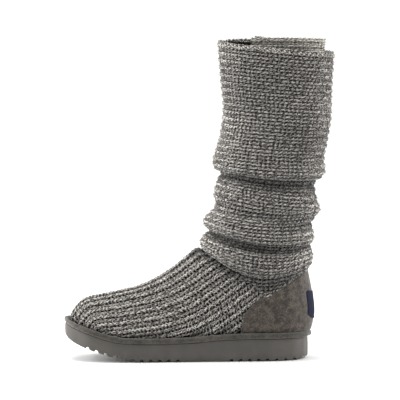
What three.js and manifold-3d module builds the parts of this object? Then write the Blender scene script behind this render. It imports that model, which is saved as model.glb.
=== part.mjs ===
// Slouched sweater boot, right foot: knitted upper and shaft, suede heel counter and binding, moulded sole.
// Millimetres, +Z up. The toe points to -X and the inner (big toe) side is -Y.
// The origin lies on the floor under the middle of the heel seat.
import * as THREE from 'three';
import { mergeVertices } from 'three/addons/utils/BufferGeometryUtils.js';
import Module from 'manifold-3d';

const wasm = await Module();
wasm.setup();

// Driving sizes of the boot
const soleLength = 261;
const heelSeat = 39;          // from the back of the sole to the middle of the heel seat
const bootHeight = 341;       // floor to the rim of the shaft
const ballWidth = 104;
const knitWall = 3;           // chunky rib knit with its lining
const suede = 1.6;
const heelLift = 23.6;        // sole thickness under the heel
const ballLift = 19.2;        // sole thickness under the ball
const toeTipTop = 39;         // height of the sole's top edge at the toe
const toeSpring = 25;         // height of the sole's underside at the toe
const soleCorner = 2.6;       // how far the tread edge is rounded in
const soleLean = 0.5;         // how far the side wall leans in at the top
const lipHeight = 6.2;        // suede binding round the seat of the upper
const lipProud = 2.4;         // how far the binding stands out past the sole
const lipBack = 1.5;          // the whole binding sits this far back, so it stands out more at the heel
const lipInset = 6.5;         // how far it reaches in under the upper's edge
const sockThick = 5;          // insole
const treadDepth = 2.2;
const treadWidth = 3.4;
const treadPitch = 9.6;       // grooves lie half a pitch each side of the heel seat's middle
const labelWidth = 40;
const labelHeight = 29;
const labelMiddle = 57;       // height of the middle of the blank heel label
const labelThick = 1.2;
const facingWidth = 86;       // turned-in facing inside the rim, along the boot
const facingDrop = 46;
const facingThick = 2.4;
const facingStart = 4;        // the facing keeps this far to the outer side of the middle
const gap = 0.3;              // clearance between touching pieces
const around = 32;            // facets round each section
const lots = 500;             // larger than the boot, for cutting tools

// Sections of the last from the toe to the ankle. front/frontUp: the point on the ridge of the
// instep; back/backUp: the opposite point, under the sole or on the back of the heel. Lengths along
// are shares of soleLength from the back of the sole, heights are shares of bootHeight, and half
// and swing (towards the outer side) are shares of ballWidth. widest: where across the section the
// half width is reached. frontSquare and backSquare: 2 is round, larger is squarer. dip: how far
// the sides of the section hang below its ends, as a share of bootHeight.
const lastColumns = ['front', 'frontUp', 'back', 'backUp', 'half', 'swing', 'widest', 'frontSquare', 'backSquare', 'dip'];
const lastRows = [
  [0.981, 0.113, 0.823, 0.043, 0.425, -0.045, 0.98, 2.3, 4.0, 0],
  [0.977, 0.136, 0.815, 0.040, 0.435, -0.045, 0.95, 2.3, 4.0, 0],
  [0.963, 0.158, 0.807, 0.037, 0.445, -0.042, 0.92, 2.2, 4.0, 0],
  [0.938, 0.179, 0.798, 0.035, 0.452, -0.040, 0.90, 2.2, 4.0, 0],
  [0.909, 0.192, 0.786, 0.034, 0.458, -0.036, 0.88, 2.2, 4.0, 0],
  [0.864, 0.200, 0.765, 0.034, 0.465, -0.030, 0.85, 2.1, 4.2, 0],
  [0.794, 0.211, 0.724, 0.032, 0.475, -0.018, 0.82, 2.0, 4.5, 0],
  [0.724, 0.223, 0.667, 0.032, 0.478, -0.006, 0.80, 2.0, 4.5, 0],
  [0.658, 0.241, 0.580, 0.034, 0.468, 0.002, 0.78, 1.9, 4.5, 0],
  [0.597, 0.267, 0.477, 0.035, 0.446, 0.004, 0.76, 1.9, 4.2, 0],
  [0.543, 0.296, 0.370, 0.040, 0.420, 0.002, 0.72, 1.9, 4.0, 0],
  [0.502, 0.323, 0.255, 0.043, 0.398, 0.000, 0.66, 1.9, 3.4, 0],
  [0.473, 0.342, 0.148, 0.043, 0.386, 0.000, 0.60, 1.9, 2.9, 0],
  [0.455, 0.347, 0.045, 0.049, 0.382, 0.000, 0.56, 2.0, 2.4, 0],
  [0.444, 0.345, -0.004, 0.090, 0.380, 0.000, 0.54, 2.0, 2.1, 0],
  [0.438, 0.343, -0.019, 0.144, 0.380, 0.000, 0.52, 2.0, 2.0, 0],
  [0.434, 0.341, -0.012, 0.207, 0.382, 0.000, 0.50, 2.0, 2.0, 0],
  [0.432, 0.340, 0.008, 0.283, 0.390, 0.000, 0.50, 2.0, 2.0, 0],
];

// Sections of the slouched shaft from the ankle seam to the rim, in the same columns. Crests of
// the folds alternate with creases; the rows end above the rim, which is cut to its own line.
const shaftRows = [
  [0.432, 0.338, 0.010, 0.281, 0.392, 0, 0.50, 2.0, 2.0, 0.112],
  [0.430, 0.341, 0.004, 0.288, 0.394, 0, 0.50, 2.0, 2.0, 0.062],
  [0.442, 0.353, -0.016, 0.305, 0.452, 0, 0.50, 2.0, 2.0, 0.052],
  [0.447, 0.369, -0.023, 0.324, 0.466, 0, 0.50, 2.0, 2.0, 0.038],
  [0.434, 0.388, -0.016, 0.343, 0.446, 0, 0.50, 2.0, 2.0, 0.028],
  [0.409, 0.403, -0.013, 0.358, 0.374, 0, 0.50, 2.0, 2.0, 0.022],
  [0.428, 0.419, -0.027, 0.378, 0.450, 0, 0.50, 2.0, 2.0, 0.024],
  [0.432, 0.438, -0.023, 0.403, 0.460, 0, 0.50, 2.0, 2.0, 0.018],
  [0.412, 0.457, -0.016, 0.427, 0.442, 0, 0.50, 2.0, 2.0, 0.014],
  [0.385, 0.481, -0.041, 0.456, 0.424, 0, 0.50, 2.0, 2.0, 0.012],
  [0.389, 0.524, -0.051, 0.473, 0.436, 0, 0.50, 2.0, 2.0, 0.010],
  [0.377, 0.561, -0.033, 0.520, 0.424, 0, 0.50, 2.0, 2.0, 0.008],
  [0.360, 0.588, -0.030, 0.555, 0.374, 0, 0.50, 2.0, 2.0, 0.008],
  [0.387, 0.599, -0.058, 0.571, 0.446, 0, 0.50, 2.0, 2.0, 0.008],
  [0.395, 0.618, -0.072, 0.590, 0.458, 0, 0.50, 2.0, 2.0, 0.006],
  [0.383, 0.656, -0.068, 0.631, 0.442, 0, 0.50, 2.0, 2.0, 0.004],
  [0.364, 0.707, -0.080, 0.682, 0.430, 0, 0.50, 2.0, 2.0, 0],
  [0.352, 0.789, -0.097, 0.762, 0.430, 0, 0.50, 2.0, 2.0, 0],
  [0.362, 0.878, -0.099, 0.849, 0.434, 0, 0.50, 2.0, 2.0, 0],
  [0.370, 0.953, -0.105, 0.919, 0.438, 0, 0.50, 2.0, 2.0, 0],
  [0.376, 1.060, -0.112, 1.024, 0.440, 0, 0.50, 2.0, 2.0, 0],
];

// Outline of the sole: half widths towards the inner and outer side, as shares of ballWidth, at
// shares of soleLength from the heel back.
const soleRows = [
  { along: 0.000, inner: 0.000, outer: 0.000 },
  { along: 0.020, inner: 0.175, outer: 0.175 },
  { along: 0.070, inner: 0.300, outer: 0.302 },
  { along: 0.160, inner: 0.376, outer: 0.380 },
  { along: 0.300, inner: 0.410, outer: 0.416 },
  { along: 0.450, inner: 0.441, outer: 0.452 },
  { along: 0.600, inner: 0.479, outer: 0.486 },
  { along: 0.700, inner: 0.502, outer: 0.488 },
  { along: 0.800, inner: 0.508, outer: 0.456 },
  { along: 0.890, inner: 0.474, outer: 0.392 },
  { along: 0.955, inner: 0.370, outer: 0.284 },
  { along: 0.988, inner: 0.238, outer: 0.136 },
  { along: 1.000, inner: 0.062, outer: -0.062 },
];

// Height of the sole's top edge and of its underside along the boot; toe is a share of the toe's
// own height, and lift a share of the sole's thickness at the heel or ball.
const topEdge = [
  { along: 0.00, up: heelLift },
  { along: 0.24, up: heelLift * 1.01 },
  { along: 0.38, up: heelLift * 0.95 },
  { along: 0.48, up: ballLift * 1.052 },
  { along: 0.64, up: ballLift },
  { along: 0.75, up: ballLift + 0.04 * (toeTipTop - ballLift) },
  { along: 0.83, up: ballLift + 0.24 * (toeTipTop - ballLift) },
  { along: 0.90, up: ballLift + 0.53 * (toeTipTop - ballLift) },
  { along: 0.96, up: ballLift + 0.80 * (toeTipTop - ballLift) },
  { along: 1.00, up: toeTipTop },
];
const underside = [
  { along: -0.01, up: 0.08 * toeSpring },
  { along: 0.03, up: 0.024 * toeSpring },
  { along: 0.08, up: 0 },
  { along: 0.68, up: 0 },
  { along: 0.76, up: 0.13 * toeSpring },
  { along: 0.83, up: 0.30 * toeSpring },
  { along: 0.90, up: 0.53 * toeSpring },
  { along: 0.96, up: 0.78 * toeSpring },
  { along: 1.00, up: toeSpring },
];

// Side view lines, as shares of soleLength and bootHeight.
const ankleSeam = [[0.56, 0.352], [0.432, 0.3405], [0.37, 0.290], [0.268, 0.213], [0.19, 0.240], [0.11, 0.266], [0.008, 0.283], [-0.20, 0.32]];
const counterFront = [[0.372, 0.02], [0.366, 0.085], [0.350, 0.130], [0.322, 0.170], [0.268, 0.211]];
const rimInner = [[0.60, 1.022], [0.38, 0.996], [-0.111, 0.958], [-0.30, 0.943]];
const rimOuter = [[0.60, 0.98], [0.38, 0.994], [0.33, 1.0], [-0.062, 1.0], [-0.066, 0.985], [-0.048, 0.962], [-0.30, 0.943]];

// Places from shares
const alongX = (share) => heelSeat - share * soleLength;
const upZ = (share) => share * bootHeight;

// Catmull-Rom through the rows of a table; place counts rows.
function smooth(rows, place, column) {
  const last = rows.length - 1;
  const step = Math.min(Math.floor(place), last - 1);
  const t = place - step;
  const at = (i) => rows[Math.max(0, Math.min(last, i))][column];
  const [a, b, c, d] = [at(step - 1), at(step), at(step + 1), at(step + 2)];
  return b + 0.5 * t * (c - a + t * (2 * a - 5 * b + 4 * c - d + t * (3 * (b - c) + d - a)));
}

// Monotone lookup of a height or width at a share of the length.
function lookUp(rows, along, column) {
  const last = rows.length - 1;
  let step = 0;
  while (step < last - 1 && along > rows[step + 1].along) step += 1;
  const from = rows[step];
  const to = rows[step + 1];
  const t = Math.max(0, Math.min(1, (along - from.along) / (to.along - from.along)));
  const rate = (i) => (rows[i + 1][column] - rows[i][column]) / (rows[i + 1].along - rows[i].along);
  const slope = (i) => {
    if (i === 0 || i === last) return rate(Math.min(i, last - 1));
    const before = rate(i - 1);
    const after = rate(i);
    return before * after > 0 ? (2 * before * after) / (before + after) : 0;
  };
  const span = to.along - from.along;
  const t2 = t * t;
  const t3 = t2 * t;
  return (2 * t3 - 3 * t2 + 1) * from[column] + (t3 - 2 * t2 + t) * span * slope(step)
    + (3 * t2 - 2 * t3) * to[column] + (t3 - t2) * span * slope(step + 1);
}

const soleTop = (x) => lookUp(topEdge, Math.max(0, Math.min(1, (heelSeat - x) / soleLength)), 'up');
const soleUnder = (x) => lookUp(underside, Math.max(-0.01, Math.min(1, (heelSeat - x) / soleLength)), 'up');

// One section as a ring of points, grown outwards by an offset.
function sectionRing(rows, place, offset) {
  const size = (name) => smooth(rows, place, lastColumns.indexOf(name));
  const front = new THREE.Vector3(alongX(size('front')), size('swing') * ballWidth, upZ(size('frontUp')));
  const back = new THREE.Vector3(alongX(size('back')), size('swing') * ballWidth, upZ(size('backUp')));
  const across = back.clone().sub(front).normalize();
  front.addScaledVector(across, -offset);
  back.addScaledVector(across, offset);
  const span = front.distanceTo(back);
  const half = size('half') * ballWidth + offset;
  const widest = size('widest');
  const ring = [];
  for (let i = 0; i < around; i += 1) {
    const angle = (2 * Math.PI * i) / around;
    const ahead = Math.cos(angle) >= 0;
    const square = ahead ? size('frontSquare') : size('backSquare');
    const reach = Math.abs(Math.cos(angle)) ** (2 / square);
    const share = ahead ? widest * (1 - reach) : widest + (1 - widest) * reach;
    const side = Math.sign(Math.sin(angle)) * Math.abs(Math.sin(angle)) ** (2 / square);
    const point = front.clone().addScaledVector(across, share * span);
    point.y -= side * half;
    point.z -= size('dip') * bootHeight * side * side;
    ring.push(point);
  }
  return ring;
}

// A closed solid through a stack of rings, with a fan over each end.
function solidThrough(rings) {
  const count = rings[0].length;
  const points = rings.flat();
  const ends = [rings[0], rings[rings.length - 1]];
  for (const ring of ends) {
    points.push(ring.reduce((sum, p) => sum.add(p), new THREE.Vector3()).divideScalar(count));
  }
  const faces = [];
  for (let k = 0; k + 1 < rings.length; k += 1) {
    for (let i = 0; i < count; i += 1) {
      const j = (i + 1) % count;
      const a = k * count;
      const b = a + count;
      faces.push([a + i, b + i, b + j], [a + i, b + j, a + j]);
    }
  }
  const first = rings.length * count;
  const top = (rings.length - 1) * count;
  for (let i = 0; i < count; i += 1) {
    const j = (i + 1) % count;
    faces.push([first, i, j], [first + 1, top + j, top + i]);
  }
  return solidFrom(points, faces);
}

// A solid from points and faces, turned the right way out.
function solidFrom(points, faces) {
  const vertProperties = new Float32Array(points.flatMap((p) => [p.x, p.y, p.z]));
  let volume = 0;
  for (const [a, b, c] of faces) {
    volume += points[a].dot(points[b].clone().cross(points[c]));
  }
  const turned = volume < 0 ? faces.map(([a, b, c]) => [a, c, b]) : faces;
  const mesh = new wasm.Mesh({ numProp: 3, vertProperties, triVerts: new Uint32Array(turned.flat()) });
  mesh.merge();
  return new wasm.Manifold(mesh);
}

// Solids from three.js geometry, through its merged positions
function solidOf(geometry) {
  const bare = geometry.clone();
  bare.deleteAttribute('normal');
  bare.deleteAttribute('uv');
  const merged = mergeVertices(bare, 1e-4);
  return new wasm.Manifold(new wasm.Mesh({
    numProp: 3,
    vertProperties: new Float32Array(merged.attributes.position.array),
    triVerts: new Uint32Array(merged.index.array),
  }));
}

// A side view outline, in millimetres, carried across the boot from one side to the other.
function sideCutter(outline, fromY, toY) {
  const shape = new THREE.Shape(outline.map(([x, z]) => new THREE.Vector2(x, z)));
  const block = new THREE.ExtrudeGeometry(shape, { depth: toY - fromY, bevelEnabled: false });
  block.rotateX(Math.PI / 2).translate(0, toY, 0);
  return solidOf(block);
}

const inMillimetres = (line) => line.map(([along, up]) => [alongX(along), upZ(up)]);
const raised = (line, rise) => line.map(([x, z]) => [x, z + rise]);

// Points of a line in the side view, smoothed where it bends
function bend(line, steps) {
  const curve = new THREE.SplineCurve(line.map(([x, z]) => new THREE.Vector2(x, z)));
  return curve.getPoints(steps).map((p) => [p.x, p.y]);
}

const below = (line) => [...line, [line[line.length - 1][0], -lots], [line[0][0], -lots]];
const above = (line) => [...line, [line[line.length - 1][0], lots], [line[0][0], lots]];

// The top edge of the sole as a side view line, raised by a little
function soleLine(rise) {
  const line = [];
  for (let i = 0; i <= 24; i += 1) {
    const along = 1.1 - 1.3 * (i / 24);
    line.push([alongX(along), soleTop(alongX(along)) + rise]);
  }
  return line;
}

// Rings of a table at even places
function ringsOf(rows, perRow, offset) {
  const rings = [];
  const count = Math.round((rows.length - 1) * perRow);
  for (let k = 0; k <= count; k += 1) {
    rings.push(sectionRing(rows, (k * (rows.length - 1)) / count, offset));
  }
  return rings;
}

// The last, grown by an offset on its skin and on the flat under its toe
function lastForm(offset, perRow = 2) {
  const rings = ringsOf(lastRows, perRow, offset);
  const [front, back] = [rings[0][0], rings[0][around / 2]];
  const under = new THREE.Vector3(front.z - back.z, 0, back.x - front.x).normalize();
  if (under.z > 0) under.negate();
  rings[0] = rings[0].map((p) => p.clone().addScaledVector(under, Math.max(offset, 0)));
  return solidThrough(rings);
}

// Upper: the knitted foot, hollow, open at the ankle seam and underneath
const seamBend = bend(inMillimetres(ankleSeam), 28);
const seamLine = [[-lots, seamBend[0][1]], ...seamBend, [lots, seamBend[seamBend.length - 1][1]]];
const belowSeam = (drop) => sideCutter(below(raised(seamLine, -drop)), -lots, lots);
const aboveSole = (rise) => sideCutter(above(soleLine(rise)), -lots, lots);

function makeUpper() {
  const wall = lastForm(0).subtract(lastForm(-knitWall, 1));
  return wall.intersect(belowSeam(gap)).intersect(aboveSole(gap));
}

// Counter: a suede overlay on the heel, between two offsets of the last
function counterBlock(grow) {
  const frontLine = bend(inMillimetres(counterFront), 12);
  const topLine = raised(seamLine.filter(([x]) => x > alongX(0.268)), -gap);
  const outline = [...frontLine.map(([x, z]) => [x - grow, z]), ...topLine, [lots, -lots], [frontLine[0][0] - grow, -lots]];
  return sideCutter(outline, -lots, lots);
}

function makeCounter() {
  const shell = lastForm(gap + suede).subtract(lastForm(gap));
  return shell.intersect(counterBlock(0)).intersect(aboveSole(gap)).intersect(belowSeam(2 * gap));
}

// Shaft: the slouched knit leg, hollow, open at the rim and at the ankle
function makeShaft() {
  const outside = solidThrough(ringsOf(shaftRows, 1.5, 0));
  const inside = solidThrough(ringsOf(shaftRows, 1, -knitWall));
  const reach = solidThrough(ringsOf(shaftRows, 1, -knitWall - facingThick));
  const rimX = alongX(-0.07);
  const rimZ = upZ(1);
  const facingPatch = new THREE.BoxGeometry(facingWidth, lots, facingDrop * 2);
  facingPatch.translate(rimX - facingWidth / 2, lots / 2 + facingStart, rimZ);
  const hollow = inside.subtract(solidOf(facingPatch)).add(reach);
  const seat = lastForm(gap).intersect(belowSeam(-gap));
  const foot = sideCutter(below(raised(seamLine, gap)), -lots, lots);
  const innerRim = sideCutter(above(inMillimetres(rimInner)), -lots, 0);
  const outerRim = sideCutter(above(inMillimetres(rimOuter)), -0.05, lots);
  const ends = solidThrough([
    sectionRing(shaftRows, 0, -knitWall).map((p) => p.clone().add(new THREE.Vector3(0, 0, -lots / 10))),
    sectionRing(shaftRows, 0, -knitWall),
    sectionRing(shaftRows, 1, -knitWall),
  ]);
  return outside.subtract(hollow).subtract(seat).subtract(foot).subtract(innerRim).subtract(outerRim).subtract(ends);
}

// Half widths of the sole at a share of its length, pulled in by an inset
function outlineRing(inset, height) {
  const stations = 27;
  const inner = [];
  const outer = [];
  for (let i = 0; i <= stations; i += 1) {
    const along = 0.5 * (1 - Math.cos((Math.PI * i) / stations));
    inner.push([along, -lookUp(soleRows, along, 'inner') * ballWidth]);
    outer.push([along, lookUp(soleRows, along, 'outer') * ballWidth]);
  }
  const loop = [...inner, ...outer.reverse().slice(1, -1)].map(([along, y]) => new THREE.Vector2(alongX(along), y));
  return loop.map((p, i) => {
    const before = loop[(i - 1 + loop.length) % loop.length];
    const after = loop[(i + 1) % loop.length];
    const run = after.clone().sub(before).normalize();
    const x = p.x + inset * run.y;
    const y = p.y - inset * run.x;
    return new THREE.Vector3(x, y, height(x));
  });
}

// Sole: side wall, rounded tread edge, toe spring, and grooves across the tread
function makeSole() {
  const layers = [
    [soleCorner, (x) => soleUnder(x)],
    [soleCorner * 0.3, (x) => soleUnder(x) + soleCorner * 0.45],
    [0, (x) => soleUnder(x) + soleCorner * 1.3],
    [soleLean, (x) => soleTop(x)],
  ];
  let sole = flatStack(layers.map(([inset, height]) => outlineRing(inset, height)));
  const first = Math.ceil(alongX(0.955) / treadPitch - 0.5);
  const last = Math.floor(alongX(0.02) / treadPitch - 0.5);
  for (let i = first; i <= last; i += 1) {
    const x = (i + 0.5) * treadPitch;
    const arch = x > alongX(0.52) && x < alongX(0.34);
    if (!arch) {
      const half = treadWidth / 2;
      const slope = Math.atan2(soleUnder(x + half) - soleUnder(x - half), treadWidth);
      const groove = new THREE.BoxGeometry(treadWidth, ballWidth * 1.4, treadDepth * 2);
      groove.rotateY(-slope).translate(x, 0, soleUnder(x));
      sole = sole.subtract(solidOf(groove));
    }
  }
  return sole;
}

// A stack of loops with flat-across ends: both sides are joined station by station.
function flatStack(rings) {
  const count = rings[0].length;
  const points = rings.flat();
  const faces = [];
  for (let k = 0; k + 1 < rings.length; k += 1) {
    for (let i = 0; i < count; i += 1) {
      const j = (i + 1) % count;
      const a = k * count;
      const b = a + count;
      faces.push([a + i, b + i, b + j], [a + i, b + j, a + j]);
    }
  }
  const top = (rings.length - 1) * count;
  for (let i = 0; i < count / 2; i += 1) {
    const left = [i, i + 1];
    const right = [(count - i) % count, count - i - 1];
    for (const [base, flip] of [[0, false], [top, true]]) {
      const quad = [base + left[0], base + left[1], base + right[1], base + right[0]];
      if (quad[0] !== quad[3]) faces.push(flip ? [quad[0], quad[3], quad[2]] : [quad[0], quad[2], quad[3]]);
      if (quad[1] !== quad[2]) faces.push(flip ? [quad[0], quad[2], quad[1]] : [quad[0], quad[1], quad[2]]);
    }
  }
  return solidFrom(points, faces);
}

// Binding: a rounded suede strip round the seat of the upper, on the sole's top edge
function makeBinding() {
  const profile = [];
  const facets = 6;
  for (let i = 0; i < facets; i += 1) {
    const angle = (2 * Math.PI * i) / facets;
    const out = Math.sign(Math.cos(angle)) * Math.abs(Math.cos(angle)) ** 0.8;
    const rise = Math.sign(Math.sin(angle)) * Math.abs(Math.sin(angle)) ** 0.8;
    const inset = out > 0 ? -lipProud * out : -lipInset * out;
    profile.push([inset, (1 + rise) / 2]);
  }
  const loops = profile.map(([inset, rise]) => {
    const ring = outlineRing(inset, (x) => soleTop(x + lipBack) + gap + rise * lipHeight);
    return ring.map((p) => p.setX(p.x + lipBack));
  });
  const count = loops[0].length;
  const faces = [];
  for (let k = 0; k < facets; k += 1) {
    for (let i = 0; i < count; i += 1) {
      const j = (i + 1) % count;
      const a = k * count;
      const b = ((k + 1) % facets) * count;
      faces.push([a + i, b + i, b + j], [a + i, b + j, a + j]);
    }
  }
  const strip = solidFrom(loops.flat(), faces);
  const counterSeat = lastForm(2 * gap + suede).intersect(counterBlock(gap));
  return strip.subtract(lastForm(gap)).subtract(counterSeat).intersect(aboveSole(gap));
}

// Insole: a sheet on the sole, inside the upper
function makeInsole() {
  return lastForm(-knitWall - gap, 1).intersect(aboveSole(gap)).subtract(aboveSole(gap + sockThick));
}

// Blank label on the back of the heel, curved with the counter
function makeLabel() {
  const under = 2 * gap + suede;
  const sheet = lastForm(under + labelThick).subtract(lastForm(under));
  const patch = new THREE.BoxGeometry(lots, labelWidth, labelHeight);
  patch.translate(heelSeat + lots / 2 - soleLength * 0.1, 0, labelMiddle);
  return sheet.intersect(solidOf(patch));
}

// A named mesh of a solid, in its own colour
function named(name, solid, colour, roughness) {
  const { vertProperties, triVerts } = solid.getMesh();
  const geometry = new THREE.BufferGeometry();
  geometry.setAttribute('position', new THREE.BufferAttribute(vertProperties, 3));
  geometry.setIndex(new THREE.BufferAttribute(triVerts, 1));
  geometry.computeVertexNormals();
  const mesh = new THREE.Mesh(geometry, new THREE.MeshStandardMaterial({ color: colour, roughness, metalness: 0 }));
  mesh.name = name;
  return mesh;
}

const boot = new THREE.Group();
boot.add(
  named('outsole', makeSole(), 0x66635c, 0.6),
  named('binding', makeBinding(), 0x7b786f, 0.9),
  named('upper', makeUpper(), 0x8f8c87, 1),
  named('heel_counter', makeCounter(), 0x625a52, 0.95),
  named('heel_label', makeLabel(), 0x35364a, 0.7),
  named('shaft', makeShaft(), 0x949089, 1),
  named('insole', makeInsole(), 0x8a8680, 1),
);

export default boot;
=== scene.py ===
import math

import bpy
import numpy as np
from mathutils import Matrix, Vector


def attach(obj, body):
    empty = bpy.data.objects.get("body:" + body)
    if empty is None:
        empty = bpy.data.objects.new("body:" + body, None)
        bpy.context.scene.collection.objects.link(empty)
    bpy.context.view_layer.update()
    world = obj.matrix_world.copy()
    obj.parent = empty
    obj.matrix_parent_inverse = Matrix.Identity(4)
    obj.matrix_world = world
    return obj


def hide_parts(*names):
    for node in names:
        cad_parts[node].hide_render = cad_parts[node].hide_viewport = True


# Slouched sweater boot for the right foot. Metres, +Z up, the toe towards -X and the inner side towards -Y.
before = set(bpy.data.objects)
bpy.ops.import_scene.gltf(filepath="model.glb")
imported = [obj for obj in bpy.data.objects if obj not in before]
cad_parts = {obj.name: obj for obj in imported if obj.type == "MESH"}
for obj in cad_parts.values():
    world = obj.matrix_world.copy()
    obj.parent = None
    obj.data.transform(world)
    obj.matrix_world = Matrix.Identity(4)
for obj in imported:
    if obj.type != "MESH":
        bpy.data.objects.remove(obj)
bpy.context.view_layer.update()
print("frame loaded:", ", ".join(sorted(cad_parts)))

boot = {
    "soleLength": 0.261,
    "heelSeat": 0.039,  # from the back of the sole to the middle of the heel seat
    "height": 0.341,
    "ballWidth": 0.104,
    "wall": 0.003,  # knit and lining together
    "seed": 11,
}

# Sections of the last from toe to ankle, as in the solids: the ridge point, the opposite point,
# half width, swing, where the section is widest, how square its two halves are, dip of its sides
lastRows = [
    [0.981, 0.113, 0.823, 0.043, 0.425, -0.045, 0.98, 2.3, 4.0, 0],
    [0.977, 0.136, 0.815, 0.040, 0.435, -0.045, 0.95, 2.3, 4.0, 0],
    [0.963, 0.158, 0.807, 0.037, 0.445, -0.042, 0.92, 2.2, 4.0, 0],
    [0.938, 0.179, 0.798, 0.035, 0.452, -0.040, 0.90, 2.2, 4.0, 0],
    [0.909, 0.192, 0.786, 0.034, 0.458, -0.036, 0.88, 2.2, 4.0, 0],
    [0.864, 0.200, 0.765, 0.034, 0.465, -0.030, 0.85, 2.1, 4.2, 0],
    [0.794, 0.211, 0.724, 0.032, 0.475, -0.018, 0.82, 2.0, 4.5, 0],
    [0.724, 0.223, 0.667, 0.032, 0.478, -0.006, 0.80, 2.0, 4.5, 0],
    [0.658, 0.241, 0.580, 0.034, 0.468, 0.002, 0.78, 1.9, 4.5, 0],
    [0.597, 0.267, 0.477, 0.035, 0.446, 0.004, 0.76, 1.9, 4.2, 0],
    [0.543, 0.296, 0.370, 0.040, 0.420, 0.002, 0.72, 1.9, 4.0, 0],
    [0.502, 0.323, 0.255, 0.043, 0.398, 0.000, 0.66, 1.9, 3.4, 0],
    [0.473, 0.342, 0.148, 0.043, 0.386, 0.000, 0.60, 1.9, 2.9, 0],
    [0.455, 0.347, 0.045, 0.049, 0.382, 0.000, 0.56, 2.0, 2.4, 0],
    [0.444, 0.345, -0.004, 0.090, 0.380, 0.000, 0.54, 2.0, 2.1, 0],
    [0.438, 0.343, -0.019, 0.144, 0.380, 0.000, 0.52, 2.0, 2.0, 0],
    [0.434, 0.341, -0.012, 0.207, 0.382, 0.000, 0.50, 2.0, 2.0, 0],
    [0.432, 0.340, 0.008, 0.283, 0.390, 0.000, 0.50, 2.0, 2.0, 0],
]

# Sections of the slouched shaft from the ankle seam to above the rim, straight and round: the two end
# points, the half width and the dip
shaftForms = [
    (0.432, 0.338, 0.010, 0.281, 0.392, 0.112),
    (0.430, 0.341, 0.004, 0.288, 0.394, 0.062),
    (0.442, 0.353, -0.016, 0.305, 0.452, 0.052),
    (0.447, 0.369, -0.023, 0.324, 0.466, 0.038),
    (0.434, 0.388, -0.016, 0.343, 0.446, 0.028),
    (0.409, 0.403, -0.013, 0.358, 0.374, 0.022),
    (0.428, 0.419, -0.027, 0.378, 0.450, 0.024),
    (0.432, 0.438, -0.023, 0.403, 0.460, 0.018),
    (0.412, 0.457, -0.016, 0.427, 0.442, 0.014),
    (0.385, 0.481, -0.041, 0.456, 0.424, 0.012),
    (0.389, 0.524, -0.051, 0.473, 0.436, 0.010),
    (0.377, 0.561, -0.033, 0.520, 0.424, 0.008),
    (0.360, 0.588, -0.030, 0.555, 0.374, 0.008),
    (0.387, 0.599, -0.058, 0.571, 0.446, 0.008),
    (0.395, 0.618, -0.072, 0.590, 0.458, 0.006),
    (0.383, 0.656, -0.068, 0.631, 0.442, 0.004),
    (0.364, 0.707, -0.080, 0.682, 0.430, 0),
    (0.352, 0.789, -0.097, 0.762, 0.430, 0),
    (0.362, 0.878, -0.099, 0.849, 0.434, 0),
    (0.370, 0.953, -0.105, 0.919, 0.438, 0),
    (0.376, 1.060, -0.112, 1.024, 0.440, 0),
]
shaftRows = [[*form[:5], 0, 0.50, 2.0, 2.0, form[5]] for form in shaftForms]

# Side view lines as shares of the sole's length and the boot's height
ankleSeam = [
    (0.60, 0.352), (0.432, 0.3405), (0.370, 0.306), (0.300, 0.271), (0.247, 0.249),
    (0.188, 0.203), (0.111, 0.228), (0.066, 0.253), (0.008, 0.283), (-0.20, 0.32),
]
counterFront = [(0.279, 0.060), (0.278, 0.092), (0.264, 0.148), (0.236, 0.174), (0.188, 0.202)]
rimInner = [(0.60, 1.012), (0.38, 0.996), (-0.111, 0.958), (-0.30, 0.943)]
rimOuter = [(0.60, 0.98), (0.38, 0.994), (0.33, 1.0), (-0.060, 1.0), (-0.066, 0.961), (-0.30, 0.943)]


def alongX(share):
    return boot["heelSeat"] - share * boot["soleLength"]


def shareAlong(x):
    return (boot["heelSeat"] - x) / boot["soleLength"]


def upZ(share):
    return share * boot["height"]


# Height of a side view line above each x, in straight runs
def lineHeight(line, x):
    points = np.array(sorted((alongX(along), upZ(up)) for along, up in line))
    return np.interp(x, points[:, 0], points[:, 1])


# The x at which a side view line passes each height
def lineAcross(line, z):
    points = np.array(sorted((upZ(up), alongX(along)) for along, up in line))
    return np.interp(z, points[:, 0], points[:, 1])


def seamHeight(points):
    return lineHeight(ankleSeam, points[..., 0])


def rimHeight(points):
    x = points[..., 0]
    return np.where(points[..., 1] < 0, lineHeight(rimInner, x), lineHeight(rimOuter, x))


def unit(vectors):
    return vectors / np.linalg.norm(vectors, axis=-1, keepdims=True)


def evenAngles(count):
    return np.arange(count) * 2 * math.pi / count


# Distance of each point of a path from its start, along it
def pathLengths(points):
    return np.concatenate([[0], np.cumsum(np.linalg.norm(np.diff(points, axis=0), axis=-1))])


# Catmull-Rom curve through a table's rows: place counts rows, and every column is smoothed alike
def rowsAt(table, place):
    rows = np.array(table, float)
    last = len(rows) - 1
    place = np.clip(place, 0, last)
    step = np.minimum(np.floor(place).astype(int), last - 1)
    t = (place - step)[..., None]
    a, b, c, d = (rows[np.clip(step + k, 0, last)] for k in (-1, 0, 1, 2))
    return b + 0.5 * t * (c - a + t * (2 * a - 5 * b + 4 * c - d + t * (3 * (b - c) + d - a)))


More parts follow.
